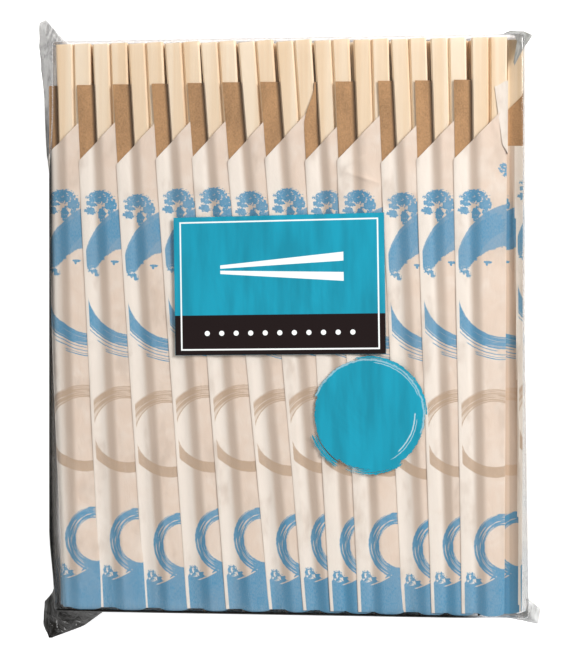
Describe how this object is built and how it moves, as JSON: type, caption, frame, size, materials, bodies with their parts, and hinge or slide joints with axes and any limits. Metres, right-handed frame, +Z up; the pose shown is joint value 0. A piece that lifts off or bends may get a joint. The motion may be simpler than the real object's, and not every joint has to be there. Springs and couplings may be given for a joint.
{
  "type": "retail pack of disposable wooden chopsticks",
  "caption": "Clear film bag of disposable wooden chopsticks: joined pairs with V grooves, each in a half-open paper sleeve, in shingled layers, sealed at both ends.",
  "frame": {"origin": "centre of the bounding box's bottom face: the pack lies on its back", "axes": "+X across the pack to the right, +Y along the chopsticks from tips to heads, +Z up out of the front face"},
  "size_m": [0.1782, 0.2216, 0.0435],
  "materials": {
    "wood": "planed, unfinished aspen",
    "paper": "thin printed sleeve paper, white outside, brown inside",
    "film": "clear glossy bag film, a label and a badge printed on it"
  },
  "bodies": {
    "root": {"front_chopsticks_01": "wood", "front_chopsticks_02": "wood", "front_chopsticks_03": "wood", "front_chopsticks_04": "wood", "front_chopsticks_05": "wood", "front_chopsticks_06": "wood", "front_chopsticks_07": "wood", "front_chopsticks_08": "wood", "front_chopsticks_09": "wood", "front_chopsticks_10": "wood", "front_chopsticks_11": "wood", "front_chopsticks_12": "wood", "chopsticks_layer_2": "wood", "chopsticks_layer_3": "wood", "chopsticks_layer_4": "wood", "chopsticks_layer_5": "wood", "chopsticks_layer_6": "wood", "chopsticks_layer_7": "wood", "chopsticks_layer_8": "wood", "front_sleeve_01": "paper", "front_sleeve_02": "paper", "front_sleeve_03": "paper", "front_sleeve_04": "paper", "front_sleeve_05": "paper", "front_sleeve_06": "paper", "front_sleeve_07": "paper", "front_sleeve_08": "paper", "front_sleeve_09": "paper", "front_sleeve_10": "paper", "front_sleeve_11": "paper", "front_sleeve_12": "paper", "sleeves_layer_2": "paper", "sleeves_layer_3": "paper", "sleeves_layer_4": "paper", "sleeves_layer_5": "paper", "sleeves_layer_6": "paper", "sleeves_layer_7": "paper", "sleeves_layer_8": "paper", "left_edge_sleeves": "paper", "film_bag": "film"}
  },
  "joints": []
}
